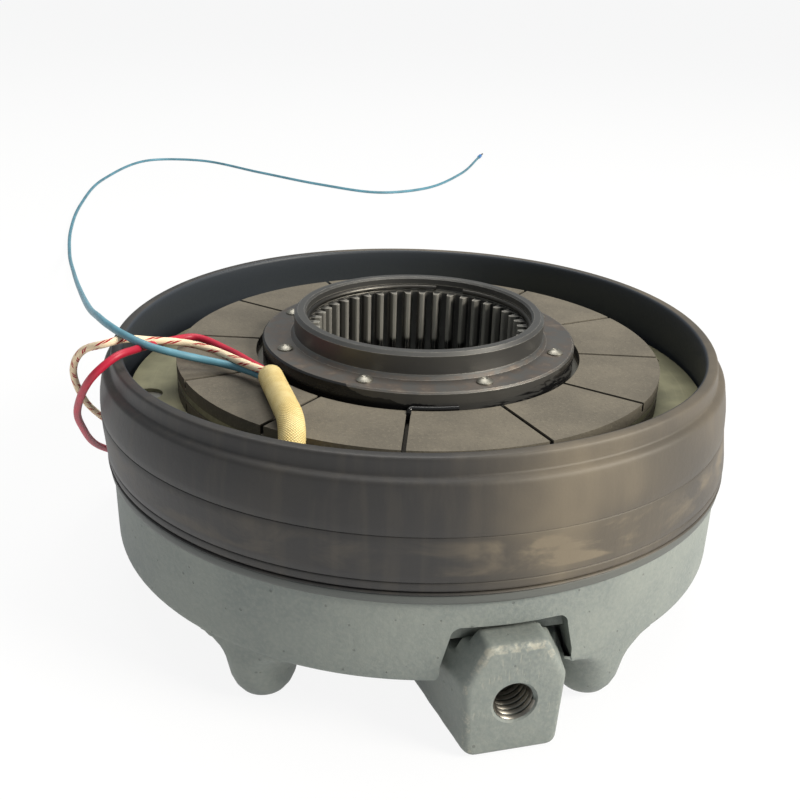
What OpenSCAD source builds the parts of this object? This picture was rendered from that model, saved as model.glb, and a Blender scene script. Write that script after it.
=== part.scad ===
// Spring applied brake: a cast magnet housing with its coil, a pressure plate, a splined friction
// disc, a rubber sealing collar, a hand release lever and three coil leads.
// The shaft's axis is Z, the magnet's pole face is z = 0, and the release lever points along -Y.

/* [Magnet housing] */
// Outer diameter of the housing
body_d = 185; // [184:1:192]
// Width of the shoulder that the sealing collar sits on
collar_seat = 2.9; // [2.4:0.1:3.2]
// Distance from the pole face down to that shoulder
seat_depth = 7.5; // [6.5:0.5:9]
// Thickness of the magnet from its pole face to its back
core_h = 23; // [22:0.5:26]
// Height of the skirt below the magnet's back
skirt_h = 9.5; // [9:0.5:12]
// Wall of the skirt
skirt_wall = 7; // [6:0.5:8]
// Radius of the skirt's rounded lower edge
edge_r = 5; // [3:0.5:5.5]
// Diameter of the bore that the motor shaft passes through
shaft_bore_d = 62; // [54:1:64]
// Diameter of a foot at its end, before it is rounded
foot_d = 12.5; // [11:0.5:14]
// Diameter of a foot where it meets the skirt
foot_top_d = 20; // [18:0.5:20.5]
// How far the feet stand out below the skirt
foot_h = 18.5; // [17:0.5:20]
// Rounding at the end of a foot
foot_round = 4.5; // [2:0.5:5]
// Diameter of the mounting holes
mount_d = 6.6; // [5.5:0.1:7]

/* [Coil] */
// Inner diameter of the coil slot
coil_in_d = 104; // [102:1:108]
// Width of the pole outside the coil slot, as a share of the housing's diameter
pole_share = 0.09344; // [0.088:0.001:0.1]
// Depth of the coil slot
coil_h = 15; // [12:0.5:16]
// Wall of the bobbin
bobbin_wall = 1.2; // [0.8:0.1:1.8]
// Thickness of the resin over the coil
potting_t = 1.5; // [1:0.1:2.5]

/* [Brake springs and guide pins] */
// Outer diameter of a brake spring
spring_d = 9; // [7:0.5:10]
// Diameter of the spring wire
spring_wire = 1.4; // [1:0.1:1.8]
// Depth of a spring pocket
spring_depth = 12; // [10:0.5:14]
// Turns of a spring
spring_turns = 4; // [3:1:6]
// Diameter of a guide pin
pin_d = 8; // [6:0.5:9]
// Depth of a guide pin in the magnet
pin_depth = 12; // [9:0.5:14]

/* [Pressure plate] */
// How far the pressure plate's edge stands back from the housing's
plate_inset = 6; // [5:0.5:7]
// Thickness of the pressure plate
plate_t = 10; // [8.5:0.5:12]
// Gap between its central hole and the hub's barrel
plate_gap = 3; // [1.5:0.5:3.5]
// Air gap between the pressure plate and the pole face
air_gap = 0.6; // [0.6:0.1:1]

/* [Friction disc] */
// How far the linings' edge stands back from the pressure plate's
lining_inset = 14; // [13.5:0.5:17]
// Gap between the linings and the hub's flange
lining_gap = 2; // [1:0.2:4]
// Thickness of one lining
lining_t = 3.8; // [3.2:0.2:5]
// Thickness of the lining carrier
carrier_t = 2.2; // [1.6:0.2:3]
// Number of slots in a lining
slot_count = 12; // [6:1:16]
// Width of a slot
slot_w = 1.2; // [0.8:0.1:2.5]
// Depth of a slot
slot_depth = 2.6; // [1:0.2:2.8]

/* [Spline hub] */
// Diameter of the hub's flange
flange_d = 94.2; // [92:0.2:95.5]
// Thickness of the flange
flange_t = 8.2; // [6:0.2:10]
// Outer diameter of the raised ring
ring_d = 75.2; // [73.6:0.2:77]
// Height of the raised ring above the flange
ring_h = 7.4; // [6.4:0.1:10]
// Diameter of the barrel below the flange
barrel_d = 70; // [69:0.5:71]
// Module of the internal spline
spline_m = 1.5; // [1.3:0.05:1.5]
// Number of spline teeth
spline_z = 42; // [38:1:42]
// Number of hub rivets
rivet_count = 8; // [4:1:12]
// Diameter of a rivet's shank
rivet_d = 3; // [2.4:0.1:3.4]
// Diameter of a rivet's head
rivet_head_d = 4.6; // [4.2:0.1:5.2]
// Wire diameter of the retaining ring
snap_wire = 1.8; // [1.4:0.1:2]

/* [Sealing collar] */
// How far the collar swells out past the housing
collar_swell = 2.1; // [1.5:0.1:3.5]
// How far the upper lip's outer face stands back from the housing's
lip_inset = 1.9; // [1:0.1:2.5]
// Thickness of the upper lip
lip_t = 3.4; // [2.4:0.2:3.6]
// Height of the collar above the pole face
collar_top = 27; // [25:0.5:28]
// Height of the upper lip's straight band
lip_h = 4; // [3:0.5:5]
// Wall of the collar at its widest
collar_wall = 4.4; // [3:0.2:5]

/* [Release lever] */
// How far the lever's end face stands out past the housing
lever_out = 4.7; // [3.5:0.1:8]
// Greatest width of the lever's end
lever_w = 25.5; // [24:0.5:28]
// Width of the end's top, between its chamfers
lever_top_w = 15.6; // [12:0.2:20]
// Height of the lever's end
lever_h = 31.6; // [30:0.2:33]
// Height of the chamfered shoulders above the lever's underside
shoulder_h = 21.2; // [18:0.2:23]
// Length of the raised block at the lever's end
block_l = 7; // [6:0.5:8]
// How much each flank widens per millimetre towards the shaft
flank_slope = 0.18; // [0.1:0.01:0.2]
// How much each flank leans in from the shoulder down to the underside
flank_lean = 1.2; // [0.6:0.1:2]
// Diameter of the tapped hole, inside its thread
tap_d = 10.2; // [8.4:0.1:10.6]
// Diameter of the thread
thread_d = 12; // [11:0.1:13]
// Depth of the tapped hole
tap_depth = 22; // [14:0.5:26]
// Height of the tapped hole above the floor that the feet stand on
tap_z = 15.5; // [14:0.1:17]
// Thickness of the fork's arms
arm_t = 10; // [8:0.5:11]
// Width of the fork's arms
arm_w = 18; // [15:0.5:18]
// Radius of the fulcrum's rounded ridge
fulcrum_r = 4; // [3.5:0.1:5]
// Distance from the studs to the fulcrum
fulcrum_arm = 30; // [26:0.5:32]
// Diameter of a release stud
stud_d = 8; // [6:0.5:8.5]
// Wall between a release stud and the pressure plate's central hole
stud_wall = 1; // [0.6:0.1:2.4]
// Height of a release nut
nut_h = 6.5; // [5:0.1:6.6]
// Width of a nut across its flats
nut_af = 13; // [12:0.5:14]
// Thickness of a release washer
washer_t = 1.6; // [1:0.1:2]

/* [Leads] */
// Diameter of a lead
lead_d = 2.5; // [2:0.1:2.8]
// Diameter of the woven sleeve
sleeve_d = 6.8; // [6:0.1:7]
// Length of a ferrule's collar
ferrule_collar_l = 8; // [6:0.5:12]
// Diameter of a ferrule's collar
ferrule_collar_d = 3.4; // [3.2:0.1:4]
// Length of a ferrule's bare tip
ferrule_tip_l = 12; // [8:0.5:14]
// Diameter of a ferrule's bare tip
ferrule_tip_d = 1.7; // [1.2:0.1:2]
// Mean diameter of a stored coil
store_d = 27; // [26:0.5:28]

/* [Hidden] */
$fn = 96;
// Sliding and pressed fits, cast clearances, and room round soft parts
fit = 0.05;
slack = 0.5;
soft_gap = 0.3;
over = 1;

// Heights from the pole face
back_z = -core_h;
bottom_z = back_z - skirt_h;
floor_z = bottom_z - foot_h;
seat_z = -seat_depth;
plate_z = air_gap;
lower_z = plate_z + plate_t;
carrier_z = lower_z + lining_t;
upper_z = carrier_z + carrier_t;
disc_top = upper_z + lining_t;
flange_top = upper_z + flange_t;
hub_top = flange_top + ring_h;
barrel_z = plate_z + 1.2;

// Radii of the magnet
body_r = body_d / 2;
pole_r = body_r - collar_seat;
skirt_r = body_r - skirt_wall;
shaft_r = shaft_bore_d / 2;
coil_in_r = coil_in_d / 2;
coil_out_r = pole_r - pole_share * body_d;
coil_out_d = 2 * coil_out_r;
ring_r = (coil_out_r + pole_r) / 2;
mount_r = ring_r - 2.5;
foot_r = foot_d / 2;
foot_top_r = foot_top_d / 2;
foot_inset = 0.5;
foot_at = body_r - foot_top_r;
bead_r = 1.2;
bead_z = seat_z + 4.5;

// Pressure plate and linings
plate_d = body_d - 2 * plate_inset;
plate_bore_d = barrel_d + 2 * plate_gap;
lining_d = plate_d - 2 * lining_inset;
lining_bore_d = flange_d + 2 * lining_gap;

// Angles round the axis
foot_angles = [-133, -70, 47, 110];
mount_angles = [0, 120, 240];
pin_angles = [60, 180, 300];
spring_angles = [30, 90, 150, 210, 270, 330];
slot_angle = 12.3;
rivet_angle = 10;
snap_gap_angle = 57;
snap_gap = 16;

// Spline and retaining ring
tip_r = spline_m * (spline_z - 2) / 2;
root_r = spline_m * (spline_z + 2.5) / 2;
entry_r = root_r + 0.6;
entry_h = snap_wire + 2.8;
groove_r = entry_r + 0.9;
snap_z = hub_top - entry_h + 0.3 + snap_wire / 2;
snap_mean_r = groove_r - snap_wire / 2 - fit;
rivet_r = (ring_d / 2 + flange_d / 2) / 2;
rivet_head_h = 1.3;

// Sealing collar
lip_r = body_r - lip_inset;
collar_r = body_r + collar_swell;
collar_mid_z = (seat_z + collar_top) / 2 + 1;
shoulder_z = collar_top - lip_h - 1.6;
hem_r = body_r + 1;
collar_in_r = collar_r - collar_wall;

// Release lever
stud_r = plate_bore_d / 2 + stud_wall + stud_d / 2;
lever_reach = body_r + lever_out;
lever_z = floor_z + 0.8;
lever_top = lever_z + lever_h;
neck_top = back_z - 4;
arm_top = back_z - fulcrum_r - 3;
arm_z = arm_top - arm_t;
fulcrum_z = back_z - fulcrum_r - 0.1;
fulcrum_x = sqrt(stud_r * stud_r - fulcrum_arm * fulcrum_arm);
fulcrum_l = 12;
neck_in = stud_r;
block_in = lever_reach - block_l;
notch_gap = 1.5;
notch_top = lever_top + 2.2;
notch_half = lever_w / 2 + flank_slope * (lever_reach - body_r) + notch_gap;
root_half = lever_w / 2 + flank_slope * (lever_reach - neck_in);
lever_play = 0.5;
washer_z = arm_z - lever_play - washer_t;
nut_z = washer_z - nut_h;
stud_z = nut_z - 1;

// Routes are written for a housing of 185 mm, and widen with it
function widen(route) = [for (q = route) [q.x * body_d / 185, q.y * body_d / 185, q.z]];

// Route of the woven sleeve, from its bush in the magnet up and over the edge of the disc
sleeve_points = widen([
    [-50.5, -63.7, -6], [-50.5, -63.7, 4], [-50, -63.7, 11], [-48.8, -62.8, 16.8],
    [-47.6, -60.2, 21.6], [-47.2, -55.2, 24.6], [-47.6, -48.7, 25.2], [-47.8, -41.3, 24.8],
    [-48.1, -33.8, 24.5], [-48.4, -26.2, 24.3]]);
bush_at = [sleeve_points[0].x, sleeve_points[0].y];
bush_r = sleeve_d / 2 + 1.6;
bush_h = 8;

// Routes of the leads, from the sleeve's mouth over the collar's lip and down to the floor
lead_floor = floor_z + lead_d / 2;
blue_points = widen([
    [-49.4, -26.2, 23.4], [-52.3, -19.5, 23], [-57.5, -13.7, 23], [-64.4, -11, 24.2],
    [-72, -11.2, 26.6], [-79.7, -10, 29], [-86, -4.5, 30.6], [-91, 8.5, 29.6],
    [-94.5, 26, 26.4], [-98.3, 57, 18.4], [-108.5, 165, -8], [-120, 290, -34.5],
    [-128, 380, -47.6], [-131, 451, lead_floor], [-127.4, 536.5, lead_floor],
    [-111.9, 636, lead_floor], [-71, 722.5, lead_floor], [-24.8, 716.8, lead_floor],
    [26, 650.4, lead_floor], [71.6, 590.5, lead_floor], [115.5, 551.8, lead_floor],
    [158.7, 563, lead_floor], [211.7, 625.6, lead_floor], [257, 708, lead_floor]]);
red_points = widen([
    [-47.4, -26.2, 24.2], [-51.7, -13.7, 23.2], [-57.6, 1, 22.4], [-66.3, 13, 22.6],
    [-74.6, 7, 24], [-83.5, -10.5, 28.4], [-88.6, -16.4, 28.8], [-94.6, -17, 24.2],
    [-101, -1, 8], [-101.5, 14.4, -5], [-98.5, 37.6, -23], [-86, 64, -40],
    [-66.3, 83.7, -48.6], [-46, 95, lead_floor]]);
white_points = widen([
    [-49.4, -26.2, 25.6], [-54.8, -16.7, 25], [-62, -5, 24.8], [-70, 1, 25.4],
    [-79.2, 0.2, 27], [-86.2, -2, 28.6], [-91.8, -4.6, 28.4], [-98, 3.5, 24],
    [-102.7, 18.7, 12], [-101.7, 34, -4], [-97, 52.8, -20], [-88.3, 61.2, -33],
    [-75, 70, -42], [-57.3, 78, -48], [-34.7, 85.7, lead_floor], [-7.3, 92.8, lead_floor]]);
store_turns = 3;
store_r = store_d / 2;
store_w = store_turns * lead_d;
red_store = [last(red_points).x - 8, last(red_points).y + 14.5];
white_store = [last(white_points).x - 4.3, last(white_points).y + 16];

// Shared shapes

// Copies of a shape at a radius, at each of a list of angles
module around(r, angles)
    for (a = angles)
        rotate(a)
            translate([r, 0, 0])
                children();

// Flat ring standing on height z
module ring(r_out, r_in, h, z)
    translate([0, 0, z])
        difference() {
            cylinder(r = r_out, h = h);
            translate([0, 0, -over])
                cylinder(r = r_in, h = h + 2 * over);
        }

// Shape drawn along +Z, turned so that it points from p along direction d
module along(p, d)
    translate(p)
        rotate([0, acos(d.z / norm(d)), atan2(d.y, d.x)])
            children();

function unit(v) = v / norm(v);
function last(list) = list[len(list) - 1];
function end_dir(p) = unit(last(p) - p[len(p) - 2]);

// Point between b and c on a smooth curve through a, b, c and d
function curve_point(a, b, c, d, t) =
    0.5 * (2 * b + (c - a) * t + (2 * a - 5 * b + 4 * c - d) * t * t
        + (3 * b - a - 3 * c + d) * t * t * t);

// Route with one more point between each two of its own
function smooth_route(p) = [
    for (i = [0 : len(p) - 2])
        for (t = [0, 0.5])
            curve_point(p[max(i - 1, 0)], p[i], p[i + 1], p[min(i + 2, len(p) - 1)], t),
    last(p)];

function tangents(p) = [
    for (i = [0 : len(p) - 1])
        unit(p[min(i + 1, len(p) - 1)] - p[max(i - 1, 0)])];

// Side directions that turn as little as they can along the route
function side_dirs(t) = [
    for (i = 0, n = unit(cross(t[0], [0.3, 0.2, 0.9]));
         i < len(t);
         i = i + 1, n = i < len(t) ? unit(n - t[i] * (n * t[i])) : n)
        n];

// Tube of one polyhedron along a route
module tube(p, r, sides) {
    t = tangents(p);
    s = side_dirs(t);
    points = [
        for (i = [0 : len(p) - 1])
            for (k = [0 : sides - 1])
                let (a = 360 * k / sides)
                    p[i] + r * (cos(a) * s[i] + sin(a) * cross(t[i], s[i]))];
    walls = [
        for (i = [0 : len(p) - 2])
            for (k = [0 : sides - 1])
                let (m = (k + 1) % sides)
                    [i * sides + k, (i + 1) * sides + k, (i + 1) * sides + m, i * sides + m]];
    start = [for (k = [0 : sides - 1]) k];
    end = [for (k = [sides - 1 : -1 : 0]) (len(p) - 1) * sides + k];
    polyhedron(points, concat([start, end], walls));
}

// Magnet

// Half section of the housing, before its pockets and holes are cut
module body_section() {
    difference() {
        translate([shaft_r, back_z])
            square([pole_r - shaft_r, core_h]);
        translate([coil_in_r, -coil_h])
            square([coil_out_r - coil_in_r, coil_h + over]);
        translate([pole_r, bead_z])
            circle(bead_r + soft_gap);
    }
    translate([pole_r - over, back_z])
        square([collar_seat + over, core_h - seat_depth]);
    translate([skirt_r, bottom_z + edge_r])
        square([skirt_wall, skirt_h - edge_r]);
    intersection() {
        translate([skirt_r, bottom_z])
            square([skirt_wall, edge_r]);
        union() {
            translate([body_r - edge_r, bottom_z + edge_r])
                circle(edge_r);
            translate([skirt_r, bottom_z])
                square([skirt_wall - edge_r, edge_r]);
        }
    }
}

// One foot, a cone with a rounded end that widens up to the skirt
module foot()
    rotate_extrude($fn = 48)
        polygon(concat(
            [[0, floor_z]],
            [for (a = [-90 : 18 : -18])
                [foot_r - foot_round + foot_round * cos(a), floor_z + foot_round * (1 + sin(a))]],
            [[foot_top_r, bottom_z + 1],
                [foot_top_r, back_z - 2],
                [0, back_z - 2]]));

// Outline of the opening that the lever passes through, up to height top
module notch_outline(top) {
    round_r = 3;
    lean = 3.5;
    corner = notch_half - round_r;
    intersection() {
        union() {
            polygon([
                [-notch_half - lean, bottom_z - over],
                [notch_half + lean, bottom_z - over],
                [notch_half, notch_top - round_r],
                [corner, notch_top],
                [-corner, notch_top],
                [-notch_half, notch_top - round_r]]);
            for (side = [-1, 1])
                translate([side * corner, notch_top - round_r])
                    circle(round_r, $fn = 32);
        }
        translate([-body_r, bottom_z - over])
            square([2 * body_r, top - bottom_z + over]);
    }
}

// The opening goes right through the skirt, and its upper part is a recess in the magnet's edge
// that clears the lever's end
module lever_notch() {
    recess_r = block_in - notch_gap - 2;
    translate([0, -recess_r, 0])
        rotate([90, 0, 0])
            linear_extrude(skirt_wall + 2 * over)
                notch_outline(notch_top + over);
    translate([0, -skirt_r + 2 * over, 0])
        rotate([90, 0, 0])
            linear_extrude(skirt_wall)
                notch_outline(back_z);
}

module magnet_body()
    color([0.52, 0.55, 0.53])
        difference() {
            union() {
                rotate_extrude($fn = 180)
                    body_section();
                intersection() {
                    around(foot_at, foot_angles)
                        foot();
                    translate([0, 0, floor_z - over])
                        cylinder(r = body_r - foot_inset, h = foot_h + skirt_h + over, $fn = 180);
                }
            }
            around(ring_r, spring_angles)
                translate([0, 0, -spring_depth])
                    cylinder(d = spring_d + slack, h = spring_depth + over, $fn = 32);
            around(ring_r, pin_angles)
                translate([0, 0, -pin_depth])
                    cylinder(d = pin_d + 2 * fit, h = pin_depth + over, $fn = 32);
            around(mount_r, mount_angles)
                translate([0, 0, back_z - over])
                    cylinder(d = mount_d, h = core_h + 2 * over, $fn = 32);
            for (side = [-1, 1])
                translate([side * stud_r, 0, back_z - over])
                    cylinder(d = stud_d + 2 * slack, h = core_h + 2 * over, $fn = 32);
            lever_notch();
            translate([0, 0, floor_z - over])
                linear_extrude(foot_h + skirt_h + over)
                    neck_plan(notch_gap);
            translate([bush_at.x, bush_at.y, -bush_h])
                cylinder(r = bush_r + fit, h = bush_h + over, $fn = 32);
            rotate(atan2(bush_at.y, bush_at.x))
                translate([coil_out_r - over, -lead_d, -bush_h / 2])
                    cube([ring_r - coil_out_r, 2 * lead_d, bush_h]);
        }

// Coil

module coil_bobbin()
    color([0.86, 0.84, 0.76])
        rotate_extrude()
            difference() {
                translate([coil_in_r + fit, -coil_h])
                    square([coil_out_r - coil_in_r - 2 * fit, coil_h - potting_t]);
                translate([coil_in_r + bobbin_wall, -coil_h + bobbin_wall])
                    square([coil_out_r, coil_h - potting_t - 2 * bobbin_wall]);
            }

module coil_winding()
    color([0.72, 0.40, 0.18])
        ring(coil_out_r - bobbin_wall, coil_in_r + bobbin_wall + fit,
            coil_h - potting_t - 2 * bobbin_wall, -coil_h + bobbin_wall);

module coil_potting()
    color([0.20, 0.19, 0.18])
        ring(coil_out_r - fit, coil_in_r + fit, potting_t, -potting_t);

// Springs and pins

// One helical spring standing on its pocket's floor and reaching the pressure plate
module brake_spring() {
    steps = 8;
    rise = spring_depth + plate_z - spring_wire;
    count = steps * spring_turns;
    helix = [
        for (i = [0 : count])
            let (a = 360 * i / steps, r = (spring_d - spring_wire) / 2)
                [r * cos(a), r * sin(a), spring_wire / 2 - spring_depth + rise * i / count]];
    tube(helix, spring_wire / 2, 6);
}

module brake_springs()
    color([0.62, 0.62, 0.60])
        around(ring_r, spring_angles)
            brake_spring();

module guide_pins()
    color([0.70, 0.70, 0.70])
        around(ring_r, pin_angles)
            translate([0, 0, -pin_depth])
                cylinder(d = pin_d, h = pin_depth + plate_z + plate_t - 1, $fn = 32);

// Pressure plate

module pressure_plate()
    color([0.58, 0.57, 0.46])
        difference() {
            ring(plate_d / 2, plate_bore_d / 2, plate_t, plate_z);
            around(ring_r, pin_angles)
                translate([0, 0, plate_z - over])
                    cylinder(d = pin_d + 2 * fit, h = plate_t + 2 * over, $fn = 32);
            around(mount_r, mount_angles)
                translate([0, 0, plate_z - over])
                    cylinder(d = mount_d + 2 * slack, h = plate_t + 2 * over, $fn = 32);
            for (side = [-1, 1])
                translate([side * stud_r, 0, plate_z - over])
                    cylinder(d = stud_d + 2 * fit, h = plate_t + 2 * over, $fn = 32);
            translate([bush_at.x, bush_at.y, plate_z - over])
                cylinder(r = bush_r + 1, h = plate_t + 2 * over, $fn = 32);
            rotate(atan2(bush_at.y, bush_at.x))
                translate([norm(bush_at), -bush_r - 0.6, plate_z - over])
                    cube([plate_d, 2 * bush_r + 1.2, plate_t + 2 * over]);
        }

// Friction disc

// Lining with radial slots in the face at height z + lining_t, or in the one at z
module lining(z, face_up)
    difference() {
        ring(lining_d / 2, lining_bore_d / 2, lining_t, z);
        for (i = [0 : slot_count - 1])
            rotate(slot_angle + 360 * i / slot_count)
                translate([lining_bore_d / 2 - over, -slot_w / 2,
                    face_up ? z + lining_t - slot_depth : z - over])
                    cube([(lining_d - lining_bore_d) / 2 + 2 * over, slot_w, slot_depth + over]);
    }

module lower_lining()
    color([0.48, 0.45, 0.40])
        lining(lower_z, false);

module upper_lining()
    color([0.49, 0.46, 0.41])
        lining(upper_z, true);

module lining_carrier()
    color([0.55, 0.55, 0.53])
        difference() {
            ring(lining_d / 2 - 0.2, barrel_d / 2 + fit, carrier_t, carrier_z);
            around(rivet_r, [for (i = [0 : rivet_count - 1]) rivet_angle + 360 * i / rivet_count])
                translate([0, 0, carrier_z - over])
                    cylinder(d = rivet_d + 2 * fit, h = carrier_t + 2 * over, $fn = 24);
        }

// Spline hub

// One gap of the internal spline: wide at the root, with the tooth tips beside it rounded
function gap_points(a) =
    let (pitch = 360 / spline_z,
        tip_half = 0.17 * pitch,
        root_half = 0.24 * pitch,
        tip_round = 0.14 * spline_m)
    [
        [tip_r, a - pitch / 2],
        [tip_r + 0.2 * tip_round, a - pitch / 2 + 0.6 * tip_half],
        [tip_r + 2 * tip_round, a - pitch / 2 + tip_half],
        [root_r - tip_round, a - root_half],
        [root_r, a - 0.7 * root_half],
        [root_r, a + 0.7 * root_half],
        [root_r - tip_round, a + root_half],
        [tip_r + 2 * tip_round, a + pitch / 2 - tip_half],
        [tip_r + 0.2 * tip_round, a + pitch / 2 - 0.6 * tip_half]];

module spline_bore()
    polygon([
        for (i = [0 : spline_z - 1])
            for (p = gap_points(360 * i / spline_z))
                [p.x * cos(p.y), p.x * sin(p.y)]]);

// Half section of the hub with its chamfered edges, before the spline is cut
module hub_section() {
    chamfer = 1;
    edge = 0.5;
    polygon([
        [0, barrel_z],
        [barrel_d / 2 - edge, barrel_z],
        [barrel_d / 2, barrel_z + edge],
        [barrel_d / 2, upper_z],
        [flange_d / 2, upper_z],
        [flange_d / 2, flange_top - edge],
        [flange_d / 2 - edge, flange_top],
        [ring_d / 2 + 1.2, flange_top],
        [ring_d / 2, flange_top + 1.2],
        [ring_d / 2, hub_top - chamfer],
        [ring_d / 2 - chamfer, hub_top],
        [0, hub_top]]);
}

module spline_hub()
    color([0.42, 0.42, 0.41])
        difference() {
            rotate_extrude($fn = 180)
                hub_section();
            translate([0, 0, barrel_z - over])
                linear_extrude(hub_top - barrel_z + 2 * over)
                    spline_bore();
            translate([0, 0, hub_top - entry_h])
                cylinder(r = entry_r, h = entry_h + over);
            rotate_extrude()
                translate([groove_r - snap_wire, snap_z - snap_wire / 2 - fit])
                    square([snap_wire, snap_wire + 2 * fit]);
            translate([0, 0, hub_top - 0.6])
                cylinder(r1 = entry_r, r2 = entry_r + 0.8, h = 0.8);
            around(rivet_r, [for (i = [0 : rivet_count - 1]) rivet_angle + 360 * i / rivet_count])
                translate([0, 0, upper_z - over])
                    cylinder(d = rivet_d + 2 * fit, h = flange_t + 2 * over, $fn = 24);
        }

// One rivet: a domed head with a dimple on the flange, and a flat head under the carrier
module hub_rivet()
    rotate_extrude($fn = 32)
        difference() {
            union() {
                translate([0, carrier_z - rivet_head_h])
                    square([rivet_head_d / 2, rivet_head_h]);
                translate([0, carrier_z - rivet_head_h / 2])
                    square([rivet_d / 2, flange_top - carrier_z + rivet_head_h]);
                intersection() {
                    translate([0, flange_top])
                        square([rivet_head_d / 2, rivet_head_h]);
                    translate([0, flange_top + rivet_head_h - rivet_head_d * 0.7])
                        circle(rivet_head_d * 0.7, $fn = 64);
                }
            }
            translate([0, flange_top + rivet_head_h + 0.5])
                circle(1, $fn = 24);
            translate([-rivet_head_d, carrier_z - 2 * rivet_head_h])
                square([rivet_head_d, flange_top]);
        }

module hub_rivets()
    color([0.72, 0.72, 0.70])
        around(rivet_r, [for (i = [0 : rivet_count - 1]) rivet_angle + 360 * i / rivet_count])
            hub_rivet();

module retaining_ring()
    color([0.55, 0.55, 0.54])
        translate([0, 0, snap_z])
            rotate(snap_gap_angle + snap_gap / 2)
                rotate_extrude(angle = 360 - snap_gap)
                    translate([snap_mean_r, 0])
                        circle(d = snap_wire, $fn = 24);

// Sealing collar

// Half section of the collar: a hem with two beads on the housing's shoulder, a swelling wall,
// and an upper lip that is set back behind a small shoulder
module collar_section() {
    inner_foot_r = pole_r + 0.1;
    polygon([
        [inner_foot_r, seat_z],
        [hem_r - 0.6, seat_z],
        [hem_r, seat_z + 0.8],
        [hem_r, seat_z + 2.6],
        [hem_r - 0.7, seat_z + 3.2],
        [hem_r - 0.7, seat_z + 6.6],
        [hem_r + 0.6, seat_z + 7.2],
        [collar_r - 0.5, collar_mid_z - 8],
        [collar_r, collar_mid_z],
        [collar_r - 0.2, collar_mid_z + 5],
        [lip_r + 3, shoulder_z],
        [lip_r + 2.2, shoulder_z + 0.9],
        [lip_r + 0.4, shoulder_z + 1.6],
        [lip_r, collar_top - 0.8],
        [lip_r - 0.8, collar_top],
        [lip_r - lip_t + 0.8, collar_top],
        [lip_r - lip_t, collar_top - 0.8],
        [lip_r - lip_t + 0.6, shoulder_z],
        [collar_in_r, collar_mid_z + 2],
        [collar_in_r - 0.4, collar_mid_z - 6],
        [inner_foot_r, seat_z + 8]]);
    translate([hem_r - 1, seat_z + 4.9])
        circle(1.7, $fn = 32);
    translate([inner_foot_r, bead_z])
        circle(bead_r, $fn = 24);
}

module sealing_collar()
    color([0.25, 0.24, 0.23])
        rotate_extrude($fn = 180)
            collar_section();

// Hand release

// Plan of the lever's neck, which widens towards the shaft, with room left all round it
module neck_plan(room)
    polygon([
        [-lever_w / 2 - room, -lever_reach],
        [lever_w / 2 + room, -lever_reach],
        [root_half + room, -neck_in],
        [-root_half - room, -neck_in]]);

// Plan of the lever: its neck, and a fork that reaches round the shaft
module lever_plan()
    difference() {
        union() {
            neck_plan(0);
            intersection() {
                circle(stud_r + arm_w / 2);
                translate([-body_r, -body_r])
                    square([2 * body_r, body_r]);
            }
            for (side = [-1, 1])
                translate([side * stud_r, 0])
                    circle(d = arm_w, $fn = 48);
        }
        circle(stud_r - arm_w / 2);
    }

// Side of the lever: the raised end block, the neck under the magnet, and the thinner fork
module lever_side()
    polygon([
        [-lever_reach, lever_z + 2],
        [-lever_reach + 2, lever_z],
        [-skirt_r + 8, lever_z],
        [-stud_r - arm_w / 2, arm_z],
        [body_r, arm_z],
        [body_r, arm_top],
        [-stud_r - arm_w / 2, arm_top],
        [-stud_r - arm_w / 2 - 4, neck_top],
        [-block_in + 4, neck_top],
        [-block_in, lever_top],
        [-lever_reach + 1.2, lever_top],
        [-lever_reach, lever_top - 1.2]]);

// Wedge that chamfers one upper corner of the lever's end
module corner_cut(side)
    rotate([90, 0, 0])
        translate([0, 0, skirt_r - 8])
            linear_extrude(lever_reach)
                polygon([
                    [side * lever_top_w / 2, lever_top + over],
                    [side * lever_top_w / 2, lever_top],
                    [side * lever_w / 2, lever_z + shoulder_h],
                    [side * body_r, lever_z + shoulder_h],
                    [side * body_r, lever_top + over]]);

// Wedge that leans one flank in below its shoulder and rounds its lower edge
module flank_cut(side) {
    foot_z = 3.6;
    start_z = shoulder_h - 1.5;
    above = 3;
    translate([side * lever_w / 2, -lever_reach, lever_z])
        rotate(-side * atan(flank_slope))
            translate([0, lever_reach - skirt_r, 0])
                rotate([90, 0, 0])
                    linear_extrude(lever_reach)
                        polygon([
                            [side * flank_lean * above / (start_z - foot_z), start_z + above],
                            [-side * flank_lean, foot_z],
                            [-side * (flank_lean + 0.9), 1.4],
                            [-side * (flank_lean + 3.5), -over],
                            [side * lever_w, -over],
                            [side * lever_w, start_z + above]]);
}

module release_lever()
    color([0.52, 0.55, 0.53])
        difference() {
            union() {
                intersection() {
                    translate([0, 0, floor_z])
                        linear_extrude(foot_h + skirt_h + core_h)
                            lever_plan();
                    rotate([90, 0, 90])
                        translate([0, 0, -body_r])
                            linear_extrude(2 * body_r)
                                lever_side();
                }
                for (side = [-1, 1])
                    translate([side * fulcrum_x - fulcrum_l / 2, -fulcrum_arm, fulcrum_z])
                        rotate([0, 90, 0]) {
                            cylinder(r = fulcrum_r, h = fulcrum_l, $fn = 48);
                            translate([0, -fulcrum_r, 0])
                                cube([fulcrum_r + 3, 2 * fulcrum_r, fulcrum_l]);
                        }
            }
            for (side = [-1, 1]) {
                corner_cut(side);
                flank_cut(side);
                translate([side * stud_r, 0, arm_z - over])
                    cylinder(d = stud_d + 4 * slack, h = arm_t + 2 * over, $fn = 32);
            }
            translate([0, -lever_reach - over, floor_z + tap_z])
                rotate([-90, 0, 0])
                    cylinder(d = tap_d, h = tap_depth + over, $fn = 48);
            translate([0, -lever_reach - over, floor_z + tap_z])
                rotate([-90, 0, 0])
                    cylinder(d1 = thread_d + 2 * over, d2 = tap_d,
                        h = over + (thread_d - tap_d) / 2, $fn = 48);
        }

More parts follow.
